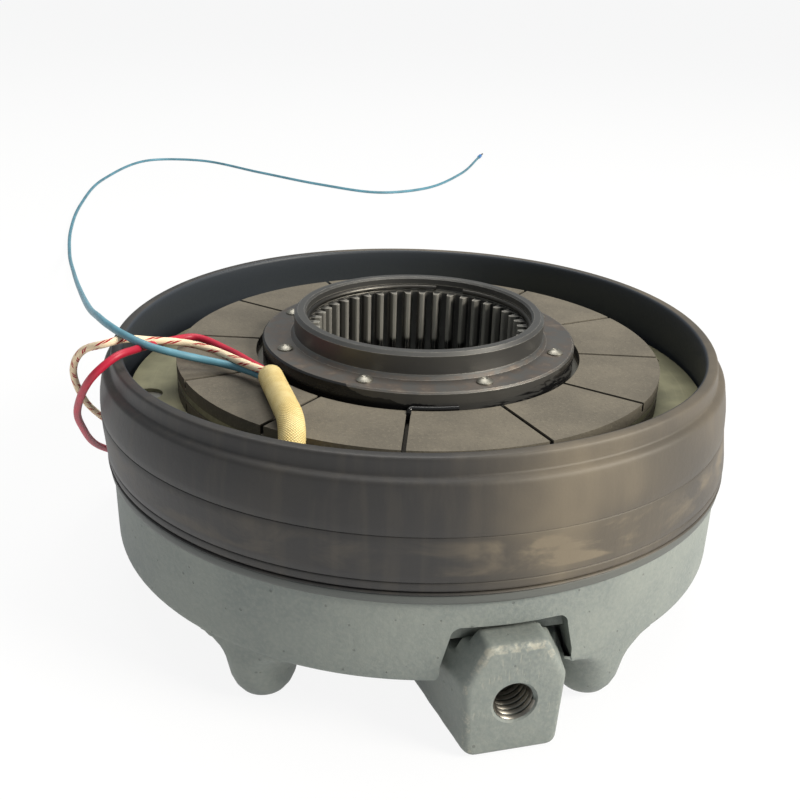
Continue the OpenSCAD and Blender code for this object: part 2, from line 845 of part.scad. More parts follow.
module release_studs()
    color([0.66, 0.66, 0.64])
        for (side = [-1, 1])
            translate([side * stud_r, 0, stud_z])
                cylinder(d = stud_d, h = lower_z - stud_z, $fn = 32);

module release_washers()
    color([0.66, 0.66, 0.64])
        for (side = [-1, 1])
            translate([side * stud_r, 0, 0])
                ring(nut_af / 2 + 1.2, stud_d / 2 + fit, washer_t, washer_z);

module release_nuts()
    color([0.66, 0.66, 0.64])
        for (side = [-1, 1])
            translate([side * stud_r, 0, nut_z])
                difference() {
                    cylinder(d = nut_af / cos(30), h = nut_h, $fn = 6);
                    translate([0, 0, -over])
                        cylinder(d = stud_d + 2 * fit, h = nut_h + 2 * over, $fn = 32);
                }

// Leads

module cable_grommet()
    color([0.12, 0.12, 0.12])
        translate([bush_at.x, bush_at.y, 0])
            ring(bush_r, sleeve_d / 2 + fit, bush_h, -bush_h);

module cable_sleeve()
    color([0.88, 0.79, 0.52])
        tube(sleeve_points, sleeve_d / 2, 12);

module blue_lead()
    color([0.30, 0.55, 0.66])
        tube(smooth_route(blue_points), lead_d / 2, 8);

module red_lead()
    color([0.74, 0.14, 0.27])
        tube(red_points, lead_d / 2, 8);

module white_lead()
    color([0.92, 0.82, 0.62])
        tube(white_points, lead_d / 2, 8);

// Outer shape of one stored coil
module lead_store(at)
    translate([at.x, at.y, 0])
        ring(store_r + store_w / 2, store_r - store_w / 2, store_w, floor_z);

module red_lead_coil()
    color([0.74, 0.14, 0.27])
        lead_store(red_store);

module white_lead_coil()
    color([0.92, 0.82, 0.62])
        lead_store(white_store);

// A tie round one side of each stored coil
module lead_coil_ties()
    color([0.10, 0.10, 0.10])
        for (at = [red_store, white_store])
            translate([at.x + store_r, at.y - 2, floor_z])
                difference() {
                    translate([-store_w / 2 - 1, 0, 0])
                        cube([store_w + 2, 4, store_w + 1]);
                    translate([-store_r, 2, -over])
                        ring(store_r + store_w / 2 + fit, store_r - store_w / 2 - fit,
                            store_w + over + fit, 0);
                }

module ferrule_collar(p, d)
    along(p, d)
        cylinder(d = ferrule_collar_d, h = ferrule_collar_l, $fn = 24);

module ferrule_tip(p, d)
    along(p + ferrule_collar_l * unit(d), d)
        cylinder(d = ferrule_tip_d, h = ferrule_tip_l, $fn = 24);

// Ends of the stored leads: they lie flat on the floor beside their coils
ferrule_z = floor_z + ferrule_collar_d / 2;
function store_end(at) = [at.x, at.y + store_r + store_w / 2 + ferrule_collar_d / 2, ferrule_z];
function blue_end() = [last(blue_points).x, last(blue_points).y, ferrule_z];

module blue_ferrule_collar()
    color([0.27, 0.55, 0.83])
        ferrule_collar(blue_end(), end_dir(blue_points));

module blue_ferrule_tip()
    color([0.75, 0.75, 0.74])
        ferrule_tip(blue_end(), end_dir(blue_points));

module red_ferrule_collar()
    color([0.27, 0.55, 0.83])
        ferrule_collar(store_end(red_store), [-1, 0, 0]);

module red_ferrule_tip()
    color([0.75, 0.75, 0.74])
        ferrule_tip(store_end(red_store), [-1, 0, 0]);

module white_ferrule_collar()
    color([0.27, 0.55, 0.83])
        ferrule_collar(store_end(white_store), [-1, 0, 0]);

module white_ferrule_tip()
    color([0.75, 0.75, 0.74])
        ferrule_tip(store_end(white_store), [-1, 0, 0]);

magnet_body();
coil_bobbin();
coil_winding();
coil_potting();
brake_springs();
guide_pins();
pressure_plate();
lower_lining();
lining_carrier();
upper_lining();
spline_hub();
hub_rivets();
retaining_ring();
sealing_collar();
release_lever();
release_studs();
release_washers();
release_nuts();
cable_grommet();
cable_sleeve();
blue_lead();
red_lead();
white_lead();
red_lead_coil();
white_lead_coil();
lead_coil_ties();
blue_ferrule_collar();
blue_ferrule_tip();
red_ferrule_collar();
red_ferrule_tip();
white_ferrule_collar();
white_ferrule_tip();
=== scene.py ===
from math import atan2, ceil, cos, exp, pi, radians, sin, sqrt, tan, tau

import bmesh
import bpy
from mathutils import Matrix, Vector


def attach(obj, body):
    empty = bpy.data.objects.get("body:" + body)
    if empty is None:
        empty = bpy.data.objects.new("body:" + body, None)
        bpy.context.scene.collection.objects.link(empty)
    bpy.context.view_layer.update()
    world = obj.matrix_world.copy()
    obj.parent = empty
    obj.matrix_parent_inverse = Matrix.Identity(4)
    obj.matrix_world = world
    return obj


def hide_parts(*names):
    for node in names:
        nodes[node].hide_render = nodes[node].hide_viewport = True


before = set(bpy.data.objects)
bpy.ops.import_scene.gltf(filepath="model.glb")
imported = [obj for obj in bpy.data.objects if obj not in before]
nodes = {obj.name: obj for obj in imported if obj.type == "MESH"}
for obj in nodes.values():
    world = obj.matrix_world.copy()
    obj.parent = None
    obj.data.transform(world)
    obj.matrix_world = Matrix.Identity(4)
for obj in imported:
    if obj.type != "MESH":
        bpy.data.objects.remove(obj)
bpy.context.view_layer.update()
scene = bpy.context.scene

# Sizes named in capitals are in millimetres and degrees; heights count from the magnet's pole face
MM = 0.001
FLOOR = -51.0


# Camera at the viewing angle of the photograph
def place_camera():
    eye = Vector((-77.51, -275.35, 126.46)) * MM
    look = Vector((0.23318, 0.88689, -0.39881)).normalized()
    level = look.cross(Vector((0, 0, 1))).normalized()
    rise = level.cross(look)
    roll = radians(1.741)
    right = level * cos(roll) + rise * sin(roll)
    up = rise * cos(roll) - level * sin(roll)
    data = bpy.data.cameras.new("viewing_camera")
    data.sensor_width = 36
    data.lens = 44.667
    data.clip_start = 0.01
    data.clip_end = 20
    camera = bpy.data.objects.new("viewing_camera", data)
    scene.collection.objects.link(camera)
    camera.matrix_world = Matrix.Translation(eye) @ Matrix((right, up, -look)).transposed().to_4x4()
    scene.camera = camera


place_camera()


# Values that run through the nodes of a finish
class Flow:
    """A socket of a finish. Sums on it add Math nodes, and node() adds any other node."""

    def __init__(self, socket):
        self.socket = socket
        self.tree = socket.id_data

    def node(self, kind, settings=None, sockets=None, out=0):
        made = self.tree.nodes.new(kind)
        for key, value in (settings or {}).items():
            setattr(made, key, value)
        for key, value in (sockets or {}).items():
            self.feed(made.inputs[key], value)
        return Flow(made.outputs[out])

    def feed(self, socket, value):
        if isinstance(value, Flow):
            self.tree.links.new(value.socket, socket)
        elif socket.type == "RGBA" and len(value) == 3:
            socket.default_value = (*value, 1)
        else:
            socket.default_value = value

    def parts(self):
        """The x, y and z of a vector."""
        return [self.node("ShaderNodeSeparateXYZ", None, {0: self}, part) for part in range(3)]

    def math(self, operation, *others, clamp=False):
        settings = {"operation": operation, "use_clamp": clamp}
        return self.node("ShaderNodeMath", settings, dict(enumerate((self, *others))))

    def __add__(self, other):
        return self.math("ADD", other)

    __radd__ = __add__

    def __sub__(self, other):
        return self.math("SUBTRACT", other)

    def __rsub__(self, other):
        return self.node("ShaderNodeMath", {"operation": "SUBTRACT"}, {0: other, 1: self})

    def __mul__(self, other):
        return self.math("MULTIPLY", other)

    def __truediv__(self, other):
        return self.math("DIVIDE", other)

    def clamp(self):
        return self.math("ADD", 0.0, clamp=True)

    def ease(self, low, high):
        """0 below low, 1 above high, smooth between; falls when low is the greater."""
        first, last = (0.0, 1.0) if low < high else (1.0, 0.0)
        sockets = {0: self, 1: min(low, high), 2: max(low, high), 3: first, 4: last}
        return self.node("ShaderNodeMapRange", {"interpolation_type": "SMOOTHSTEP"}, sockets)

    def band(self, middle, half, soft):
        """1 within half of middle, falling to 0 over soft."""
        return (self - middle).math("ABSOLUTE").ease(half + soft, half)

    def mix(self, first, second):
        """first where the value is 0, second where it is 1."""
        return self.node("ShaderNodeMix", {"data_type": "RGBA"}, {0: self, 6: first, 7: second}, 2)


class Finish:
    """A material and the values that its patterns start from. Lengths in it are in metres."""

    def __init__(self, name):
        self.material = bpy.data.materials.new(name)
        self.material.use_nodes = True
        self.tree = self.material.node_tree
        self.surface = next(n for n in self.tree.nodes if n.type == "BSDF_PRINCIPLED")
        self.start = Flow(self.surface.outputs[0])
        self.place = self.start.node("ShaderNodeTexCoord", out="Object")
        self.x, self.y, self.z = self.place.parts()

    def radius(self):
        return (self.x * self.x + self.y * self.y).math("SQRT")

    def angle(self):
        """Angle about the shaft in turns, from -0.5 to 0.5."""
        return self.y.math("ARCTAN2", self.x) / tau

    def point(self, x, y, z):
        return self.start.node("ShaderNodeCombineXYZ", None, {0: x, 1: y, 2: z})

    def stretched(self, *by):
        return self.start.node("ShaderNodeVectorMath", {"operation": "MULTIPLY"}, {0: self.place, 1: by})

    def moved(self, *by):
        return self.start.node("ShaderNodeVectorMath", {"operation": "ADD"}, {0: self.place, 1: by})

    def tube_map(self):
        """The own map of a tube: along it and round it, both from 0 to 1."""
        return self.start.node("ShaderNodeUVMap", {"uv_map": "UVMap"}).parts()[:2]

    def noise(self, size, detail=3, rough=0.55, at=None, warp=0.0):
        """Cloudy value with features of about size metres."""
        sockets = {"Vector": at or self.place, "Scale": 1 / size, "Detail": detail, "Roughness": rough,
                   "Distortion": warp}
        return self.start.node("ShaderNodeTexNoise", {"noise_dimensions": "3D"}, sockets)

    def cells(self, size, at=None):
        """Distance to the nearest of points about size metres apart, in sizes."""
        return self.start.node("ShaderNodeTexVoronoi", None, {"Vector": at or self.place, "Scale": 1 / size})

    def edge(self, reach):
        """0 on flat faces, rising towards 1 at edges within reach metres of them."""
        soft = self.start.node("ShaderNodeBevel", {"samples": 6}, {"Radius": reach})
        flat = self.start.node("ShaderNodeNewGeometry", out="Normal")
        dot = self.start.node("ShaderNodeVectorMath", {"operation": "DOT_PRODUCT"}, {0: soft, 1: flat}, "Value")
        return 1 - dot

    def bump(self, height, depth, strength):
        sockets = {"Height": height, "Distance": depth, "Strength": strength}
        return self.start.node("ShaderNodeBump", None, sockets)

    def set(self, **sockets):
        names = {"color": "Base Color", "rough": "Roughness", "metal": "Metallic", "normal": "Normal",
                 "specular": "Specular IOR Level"}
        for key, value in sockets.items():
            self.start.feed(self.surface.inputs[names[key]], value)
        return self.material


# Lines that leads follow
def evenly(points, step):
    """The same line with its points the same distance apart."""
    marks = [0.0]
    for a, b in zip(points, points[1:]):
        marks.append(marks[-1] + (b - a).length)
    count = max(2, ceil(marks[-1] / step))
    line, k = [], 0
    for i in range(count + 1):
        want = marks[-1] * i / count
        while k < len(points) - 2 and marks[k + 1] < want:
            k += 1
        share = (want - marks[k]) / max(1e-9, marks[k + 1] - marks[k])
        line.append(points[k].lerp(points[k + 1], min(1.0, share)))
    return line


def smooth_line(points, step=1.5):
    """A soft curve through points in millimetres that stays above the floor, as points in metres."""
    p = [Vector(q) for q in points]
    p = [2 * p[0] - p[1]] + p + [2 * p[-1] - p[-2]]
    cuts = 12
    dense = []
    for a, b, c, d in zip(p, p[1:], p[2:], p[3:]):
        ta = 0.0
        tb = ta + sqrt((b - a).length)
        tc = tb + sqrt((c - b).length)
        td = tc + sqrt((d - c).length)
        for i in range(cuts):
            t = tb + (tc - tb) * i / cuts
            ab = a.lerp(b, (t - ta) / (tb - ta))
            bc = b.lerp(c, (t - tb) / (tc - tb))
            cd = c.lerp(d, (t - tc) / (td - tc))
            abc = ab.lerp(bc, (t - ta) / (tc - ta))
            bcd = bc.lerp(cd, (t - tb) / (td - tb))
            dense.append(abc.lerp(bcd, (t - tb) / (tc - tb)))
    dense.append(p[-2])
    for q in dense:
        q.z = max(q.z, LYING)
    return [q * MM for q in evenly(dense, step)]


def length_of(line):
    return sum((b - a).length for a, b in zip(line, line[1:]))


def tube(name, line, diameter, finish, sides, capped=True):
    """A round tube along a line, with its own map: along it and round it."""
    curve = bpy.data.curves.new(name, "CURVE")
    curve.dimensions = "3D"
    curve.bevel_depth = diameter / 2
    curve.bevel_resolution = sides
    curve.use_fill_caps = capped
    curve.twist_mode = "MINIMUM"
    spline = curve.splines.new("POLY")
    spline.points.add(len(line) - 1)
    for point, place in zip(spline.points, line):
        point.co = (*place, 1)
    rod = bpy.data.objects.new(name + "_line", curve)
    scene.collection.objects.link(rod)
    mesh = bpy.data.meshes.new_from_object(rod.evaluated_get(bpy.context.evaluated_depsgraph_get()))
    bpy.data.objects.remove(rod)
    return show(name, mesh, finish, smooth=True)


def show(name, mesh, finish, smooth=False, sharp=None):
    """A piece at the origin; edges steeper than sharp degrees stay crisp."""
    mesh.name = name
    mesh.materials.clear()
    mesh.materials.append(finish)
    if smooth:
        mesh.polygons.foreach_set("use_smooth", [True] * len(mesh.polygons))
        if sharp:
            mesh.set_sharp_from_angle(angle=radians(sharp))
    piece = bpy.data.objects.new(name, mesh)
    scene.collection.objects.link(piece)
    return piece


# Routes of the sleeve and the three leads
LEAD = 2.2
LYING = FLOOR + LEAD / 2
SLEEVE = 6.8
SLEEVE_WALL = 0.6
SLEEVE_ROUTE = [
    (-50.5, -63.7, -6), (-50.5, -63.7, 4), (-50, -63.7, 11), (-48.8, -62.8, 16.8), (-47.6, -60.2, 21.6),
    (-47.2, -55.2, 24.6), (-47.6, -48.7, 25.2), (-47.8, -41.3, 24.8), (-48.1, -33.8, 24.5), (-48.4, -26.2, 24.3)]
BLUE_ROUTE = [
    (-49.4, -26.2, 23.4), (-52.3, -19.5, 23), (-57.5, -13.7, 23), (-64.4, -11, 24.2), (-72, -11.2, 26.6),
    (-79.7, -10, 29), (-86, -4.5, 30.6), (-91, 8.5, 29.6), (-94.5, 26, 26.4), (-98.3, 57, 18.4), (-108.5, 165, -8),
    (-120, 290, -34.5), (-128, 380, -47.6), (-131, 451, LYING), (-127.4, 536.5, LYING), (-111.9, 636, LYING),
    (-71, 722.5, LYING), (-24.8, 716.8, LYING), (26, 650.4, LYING), (71.6, 590.5, LYING), (115.5, 551.8, LYING),
    (158.7, 563, LYING), (211.7, 625.6, LYING), (257, 708, LYING)]
RED_ROUTE = [
    (-47.4, -26.2, 24.2), (-51.7, -13.7, 23.2), (-57.6, 1, 22.4), (-66.3, 13, 22.6), (-74.6, 7, 24),
    (-83.5, -10.5, 28.4), (-88.6, -16.4, 28.8), (-94.6, -17, 24.2), (-101, -1, 8), (-101.5, 14.4, -5),
    (-98.5, 37.6, -23), (-86, 64, -40), (-66.3, 83.7, -48.6), (-46, 95, LYING)]
WHITE_ROUTE = [
    (-49.4, -26.2, 25.6), (-54.8, -16.7, 25), (-62, -5, 24.8), (-70, 1, 25.4), (-79.2, 0.2, 27), (-86.2, -2, 28.6),
    (-91.8, -4.6, 28.4), (-98, 3.5, 24), (-102.7, 18.7, 12), (-101.7, 34, -4), (-97, 52.8, -20),
    (-88.3, 61.2, -33), (-75, 70, -42), (-57.3, 78, -48), (-34.7, 85.7, LYING), (-7.3, 92.8, LYING)]
# The blue lead's ferrule is thicker than the lead, so this end lies higher
END_LIFT = 0.45
# Middle of each stored coil, and the angle at which its lead comes in
RED_COIL = ((-54, 109.5), -61.1)
WHITE_COIL = ((-11.6, 108.8), -75.0)
# Radius of each turn of a coil and its height above the floor
COIL_TURNS = [
    (16, 1.25), (13.5, 1.25), (11, 1.25), (11, 3.75), (13.5, 3.75), (16, 3.75), (16, 6.25), (13.5, 6.25), (11, 6.25)]
# The first turn comes in from outside; the last one climbs over the others, moves out and falls to the floor
COMES_IN = 0.56
CLIMBS = 2.6
MOVES_OUT = 7.95
FALLS = 7.15
# Part of a turn in which the lead crosses to its next place
CROSSING = 0.125


def swing(t):
    """0 to 1 with soft ends while t goes from 0 to 1."""
    return (1 - cos(pi * min(1.0, max(0.0, t)))) / 2


def stored_turns(centre, first):
    """Turns laid three by three from an angle in degrees; the end climbs over them and lies along the rim."""
    last = len(COIL_TURNS) - 1
    end = len(COIL_TURNS) + (90 - first) / 360 % 1
    steps = 300
    points = []
    for i in range(1, steps + 1):
        turn = end * i / steps
        lap = min(int(turn), last)
        share = turn - lap
        if lap < last:
            (r, z), (next_r, next_z) = COIL_TURNS[lap:lap + 2]
            blend = swing((share - 1 + CROSSING + CROSSING * lap) / CROSSING)
            r += (next_r - r) * blend
            z += (next_z - z) * blend
            if lap == 0:
                r += COMES_IN * (1 - swing(share / 0.3))
            if lap == last - 1:
                z += CLIMBS * swing((share - 1 + CROSSING) / CROSSING)
        else:
            r, z = COIL_TURNS[last]
            r += MOVES_OUT * swing(share / (end - last) / 0.8)
            z += CLIMBS - FALLS * swing((share - 0.9) / 0.45)
        angle = radians(first + 360 * turn)
        points.append((centre[0] + r * cos(angle), centre[1] + r * sin(angle), FLOOR + z))
    return points


# Finishes
def shade(r, g, b):
    """A colour as the eye names it, 0 to 255, in linear light."""
    return tuple((c / 255 / 12.92) if c <= 10 else ((c / 255 + 0.055) / 1.055) ** 2.4 for c in (r, g, b))


def tinted(tone, share):
    """A tone made darker or lighter by a share."""
    return shade(*(min(255, c * share) for c in tone))


def cast_paint(name, worn):
    """Thin grey paint over a sand casting; worn gives the lever's end bare edges and scratches."""
    f = Finish(name)
    cloud = f.noise(0.03)
    grain = f.noise(0.0011, 4, 0.6)
    pit = (f.cells(0.0042) - f.noise(0.006, 2) * 0.14 + 0.025).ease(0.05, 0.02)
    color = cloud.ease(0.35, 0.65).mix(shade(112, 119, 117), shade(124, 130, 126))
    color = (grain.ease(0.35, 0.7) * 0.5).mix(color, shade(136, 140, 134))
    color = (pit * 0.4).mix(color, shade(78, 81, 79))
    rough = 0.52 + grain * 0.16
    height = f.noise(0.0035) * 0.7 + grain * 0.3 - pit * 0.5
    metal = 0.0
    if worn:
        chips = f.noise(0.0022, 4, 0.7)
        rounding = f.y.ease(-0.0966, -0.0972) * f.y.ease(-0.09818, -0.0981)
        lean = f.z.ease(-0.027, -0.022) * 0.2 + f.x.ease(-0.008, -0.011) * 0.08
        rim = (chips + lean - 0.58).ease(0.0, 0.3) * rounding
        rim = rim + (f.edge(0.0016) * 1.6 + chips * 0.8 - 0.7).ease(0.02, 0.2) * (1 - rounding) * 0.4
        front = f.y.ease(-0.0972, -0.0981)
        strokes = f.noise(0.0007, 2, 0.6, at=f.stretched(1, 1, 0.2)).ease(0.54, 0.7)
        patch = f.noise(0.006, 2).ease(0.44, 0.58) * f.z.ease(-0.043, -0.036)
        bare = (rim + strokes * patch * front * 0.4).clamp()
        steel = f.noise(0.003).mix(shade(196, 196, 184), shade(158, 150, 132))
        color = (bare * 0.7).mix(color, steel)
        metal = bare * 0.4
        height = height - bare * 0.3
    return f.set(color=color, rough=rough, metal=metal, normal=f.bump(height, 0.0004, 0.75), specular=0.4)


def rubber():
    """Satin black rubber, lighter towards the right from dust and painted light, with pale handling marks, most of
    them on the lower band.
    """
    f = Finish("collar_rubber")
    haze = f.noise(0.05)
    smear = f.noise(0.022, 4, 0.6, at=f.stretched(1, 1, 2.2), warp=0.6)
    fine = f.noise(0.0009)
    low = f.z.ease(0.0094, 0.0075) * f.z.ease(-0.0012, -0.0002)
    marks = smear.ease(0.44, 0.68) * low * 0.4 + haze.ease(0.45, 0.75) * 0.25
    streak = f.noise(0.004, at=f.stretched(1, 1, 0.05)).ease(0.45, 0.75)
    # Painted light: the rubber is made lighter towards the right, where the key lamp falls, partly as dust
    dust_and_painted_light = (f.x + haze * 0.02).ease(-0.016, 0.024) * (1.4 - f.x.ease(0.025, 0.06) * 0.75)
    marks = (marks * (dust_and_painted_light * 1.1 + 0.5) + streak * 0.08 + dust_and_painted_light * 0.3).clamp()
    color = marks.mix(shade(46, 45, 45), shade(112, 102, 86))
    rough = 0.46 + marks * 0.12 + fine * 0.06
    # Painted reflection: the hem band is tinted the grey-green of the housing paint next to it
    hem = f.z.ease(-0.0064, -0.0067)
    color = (hem * 0.8).mix(color, shade(88, 92, 90))
    # Painted shade: the inside of the lip and wall gets a cool bluish grey for the shade there, though it is the
    # same rubber
    inside = f.start.node("ShaderNodeAttribute", {"attribute_name": "inside"}, out="Fac")
    color = inside.mix(color, shade(48, 53, 60))
    height = f.noise(0.0022) + fine * 0.5
    return f.set(color=color, rough=rough, normal=f.bump(height, 0.0001, 0.5), specular=0.42)


def friction_lining():
    """Matt taupe lining with fibres in it; the slots are painted dark as shade."""
    f = Finish("friction_lining")
    cloud = f.noise(0.018)
    speck = f.noise(0.0008, 3, 0.65)
    fibre = f.cells(0.0035, at=f.moved(0.3, 0.1, 0.7))
    color = cloud.ease(0.3, 0.7).mix(shade(92, 87, 78), shade(106, 100, 89))
    color = (speck.ease(0.52, 0.75) * 0.6).mix(color, shade(118, 112, 99))
    color = (speck.ease(0.44, 0.3) * 0.4).mix(color, shade(76, 72, 65))
    color = (fibre.ease(0.07, 0.03) * 0.5).mix(color, shade(138, 131, 114))
    # Painted shade: the floors and walls of the slots are painted near black
    slot = f.z.ease(0.0202, 0.0198) * f.z.ease(0.0176, 0.0179) * f.radius().ease(0.0724, 0.0722)
    color = (slot * 0.9).mix(color, shade(28, 27, 25))
    return f.set(color=color, rough=0.74 + speck * 0.14, normal=f.bump(speck, 0.00025, 0.6), specular=0.3)


def hub_steel():
    """Blackened steel: bright turned edges, a browned flange and black sealing paint round its foot."""
    f = Finish("hub_steel")
    around = f.angle()
    mottle = f.noise(0.0045, 4, 0.65)
    turned = f.noise(0.0011, 2, at=f.point(around * 0.02, f.radius(), f.z))
    color = f.noise(0.02, 2).mix(shade(84, 84, 84), shade(100, 99, 96))
    teeth = f.radius().ease(0.0322, 0.0315)
    color = (teeth * 0.75).mix(color, shade(150, 148, 141))
    # Painted shade: the teeth deep in the bore, below 12 mm, are painted near black
    color = (teeth * f.z.ease(0.0128, 0.0112)).mix(color, shade(14, 14, 14))
    flange = f.radius().ease(0.0378, 0.0382) * f.z.ease(0.0242, 0.0246)
    color = (flange * mottle.ease(0.36, 0.64)).mix(color, shade(98, 90, 84))
    color = (flange * mottle.ease(0.56, 0.7) * 0.5).mix(color, shade(124, 114, 104))
    rim = (f.edge(0.0008) * 1.6 + mottle * 0.4 - 0.2).ease(0.05, 0.45)
    color = (rim * 0.8).mix(color, shade(206, 202, 192))
    # The sealing paint covers the flange's side at the left, thins out at the front and is brushed at the right
    side = f.radius().ease(0.0464, 0.0467) * f.z.ease(0.0251, 0.0249)
    wave = f.noise(0.005, 4, 0.65, at=f.point(around * 0.29, 0.0, f.z * 0.3))
    full = around.band(-0.46, 0.08, 0.03) + around.band(0.5, 0.12, 0.03)
    level = 0.0196 + around.ease(-0.285, -0.40) * 0.0034 + wave * 0.0034 + full * 0.004
    left = (level - f.z).ease(-0.0001, 0.0001) * (around.band(-0.40, 0.12, 0.01) + full).clamp()
    strokes = f.noise(0.0022, 3, 0.7, at=f.point(around * 0.05, 0.0, f.z + around * 0.03))
    reach = 0.0206 + around.ease(-0.235, -0.10) * 0.0042
    right = strokes.ease(0.46, 0.5) * (reach - f.z).ease(-0.0004, 0.0008) * around.band(-0.15, 0.07, 0.03)
    paint = side * (left + right).clamp()
    color = paint.mix(color, shade(16, 16, 17))
    metal = 0.75 - paint * 0.75 - teeth * 0.3
    rough = 0.34 + turned * 0.12 + flange * 0.12 - paint * 0.12
    height = turned * 0.6 + mottle * 0.4 * flange
    return f.set(color=color, rough=rough, metal=metal, normal=f.bump(height, 0.00012, 0.5))


def turned_plate():
    """Dull yellowish steel with fine turning rings."""
    f = Finish("turned_plate")
    rings = f.noise(0.0009, at=f.point(f.angle() * 0.01, f.radius(), 0.0))
    cloud = f.noise(0.016, 4)
    color = cloud.ease(0.35, 0.65).mix(shade(128, 126, 102), shade(154, 151, 122))
    color = (rings.ease(0.55, 0.8) * 0.4).mix(color, shade(172, 168, 140))
    return f.set(color=color, rough=0.46 + cloud * 0.15, metal=0.25, normal=f.bump(rings, 0.0001, 0.5))


def bright_metal(name, tone, rough):
    f = Finish(name)
    cloud = f.noise(0.0016)
    normal = f.bump(f.noise(0.0006, 2), 0.00004, 0.4)
    return f.set(color=cloud.mix(shade(*tone), tinted(tone, 0.82)), rough=rough + cloud * 0.12, metal=1.0,
                 normal=normal)


def woven_sleeve():
    """Cream glass braid: strands that cross over and under, from the sleeve's own map."""
    f = Finish("woven_sleeve")
    along, round_ = f.tube_map()
    one = (along * 62 + round_ * 13) * tau
    two = (along * 62 - round_ * 13) * tau
    over = (one.math("SINE") * two.math("SINE")).math("ABSOLUTE").ease(0.05, 0.6)
    color = over.mix(shade(184, 156, 96), shade(232, 210, 146))
    color = (f.noise(0.006).ease(0.4, 0.7) * 0.5).mix(color, shade(236, 220, 166))
    height = over + f.noise(0.0004, 2) * 0.3
    return f.set(color=color, rough=0.78, normal=f.bump(height, 0.0003, 0.7), specular=0.25)


def insulation(name, tone):
    f = Finish(name)
    cloud = f.noise(0.012)
    color = cloud.ease(0.3, 0.7).mix(tinted(tone, 0.9), tinted(tone, 1.06))
    return f.set(color=color, rough=0.42 + cloud * 0.1, normal=f.bump(f.noise(0.0012, 2), 0.00004, 0.5))


def traced_insulation(length):
    """Cream cotton cover with pairs of red tracer stitches."""
    f = Finish("white_lead_cover")
    share, round_ = f.tube_map()
    along = share * length
    slant = along / 0.0072 + round_ * 2
    phase = slant.math("FRACT")
    pair = phase.band(0.14, 0.07, 0.02) + phase.band(0.36, 0.07, 0.02)
    sector = (round_ * 3 + slant * 0.5).math("FRACT").band(0.5, 0.26, 0.04)
    one = (along / 0.0011 + round_ * 8) * tau
    two = (along / 0.0011 - round_ * 8) * tau
    weave = (one.math("SINE") * two.math("SINE")).math("ABSOLUTE")
    color = f.noise(0.01).mix(shade(238, 214, 178), shade(246, 228, 198))
    color = (pair * sector).clamp().mix(color, shade(168, 30, 42))
    return f.set(color=color, rough=0.7, normal=f.bump(weave, 0.00012, 0.6), specular=0.3)


def moulded(name, tone, rough=0.4):
    f = Finish(name)
    cloud = f.noise(0.004)
    normal = f.bump(f.noise(0.0007, 2), 0.00003, 0.4)
    return f.set(color=cloud.mix(shade(*tone), tinted(tone, 0.86)), rough=rough + cloud * 0.1, normal=normal)


# The sleeve and the three leads come first
def lay_leads():
    sleeve_line = smooth_line(SLEEVE_ROUTE, 1.0)
    sleeve = tube("woven_sleeve", sleeve_line, SLEEVE * MM, woven_sleeve(), sides=8, capped=False)
    wall = sleeve.modifiers.new("wall", "SOLIDIFY")
    wall.thickness = SLEEVE_WALL * MM
    wall.offset = -1
    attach(sleeve, "magnet")
    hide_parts("cable_sleeve")
    length_of(sleeve_line)
    red_line = smooth_line(RED_ROUTE + stored_turns(*RED_COIL))
    white_line = smooth_line(WHITE_ROUTE + stored_turns(*WHITE_COIL))
    x, y, z = BLUE_ROUTE[-1]
    blue_line = smooth_line(BLUE_ROUTE[:-1] + [(x, y, z + END_LIFT)])
    blue_cover = insulation("blue_lead_cover", (88, 138, 156))
    red_cover = insulation("red_lead_cover", (176, 26, 54))
    white_cover = traced_insulation(length_of(white_line))
    covers = {
        "blue": (blue_line, blue_cover, ["blue_lead"], "loose"),
        "red": (red_line, red_cover, ["red_lead", "red_lead_coil"], "coiled"),
        "white": (white_line, white_cover, ["white_lead", "white_lead_coil"], "coiled"),
    }
    for tint, (line, cover, solids, lay) in covers.items():
        lead = tube(tint + "_lead_wire", line, LEAD * MM, cover, sides=5)
        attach(lead, "magnet")
        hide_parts(*solids)
        tint + "_insulation"
        ends = [nodes[tint + "_ferrule_collar"], nodes[tint + "_ferrule_tip"]]
        length_of(line)
        "limp" if lay == "coiled" else "medium"


lay_leads()


# Rubber collar: its section is spun round the shaft, then the soft rubber is left a little out of true
COLLAR_SECTION = [
    (89.7, -7.4), (92.6, -7.4), (92.6, -9.2), (93.05, -9.2), (93.4, -8.95), (93.5, -8.4), (93.5, -6.95),
    (93.35, -6.7), (93.15, -6.62), (93.35, -6.54), (93.7, -6.4), (93.85, -6.15), (93.7, -5.9), (93.2, -5.78),
    (92.65, -5.72), (92.65, -5.56), (93.3, -5.5), (93.65, -5.3), (93.8, -4.6), (93.85, -3.5), (93.75, -3.15),
    (93.55, -3.02), (93.75, -2.9), (93.95, -2.6), (94.1, -0.5), (94.25, 2.0), (94.45, 4.5), (94.57, 7.0),
    (94.6, 9.2), (94.5, 9.38), (94.38, 9.45), (94.5, 9.52), (94.6, 9.7), (94.57, 12.0), (94.35, 14.8),
    (93.95, 17.4), (93.5, 19.6), (93.25, 20.9), (93.05, 21.5), (92.6, 21.95), (92.0, 22.25), (91.4, 22.5),
    (91.1, 22.7), (90.95, 23.1), (90.8, 24.5), (90.65, 25.9), (90.52, 26.5), (90.25, 26.85), (89.85, 27.0),
    (88.05, 27.0), (87.6, 26.85), (87.32, 26.45), (87.25, 25.8), (87.5, 23.5), (87.9, 21.3), (88.7, 18.0),
    (89.7, 14.0), (90.15, 10.75), (90.1, 6.5), (89.9, 2.75), (89.75, 0.5), (89.7, -3.5)]
COLLAR_STEPS = 288
# Within these radii is the inside of the lip and, below the lip, of the wall
LIP_INSIDE = 87.65
WALL_INSIDE = 90.2
LIP_FROM = 22
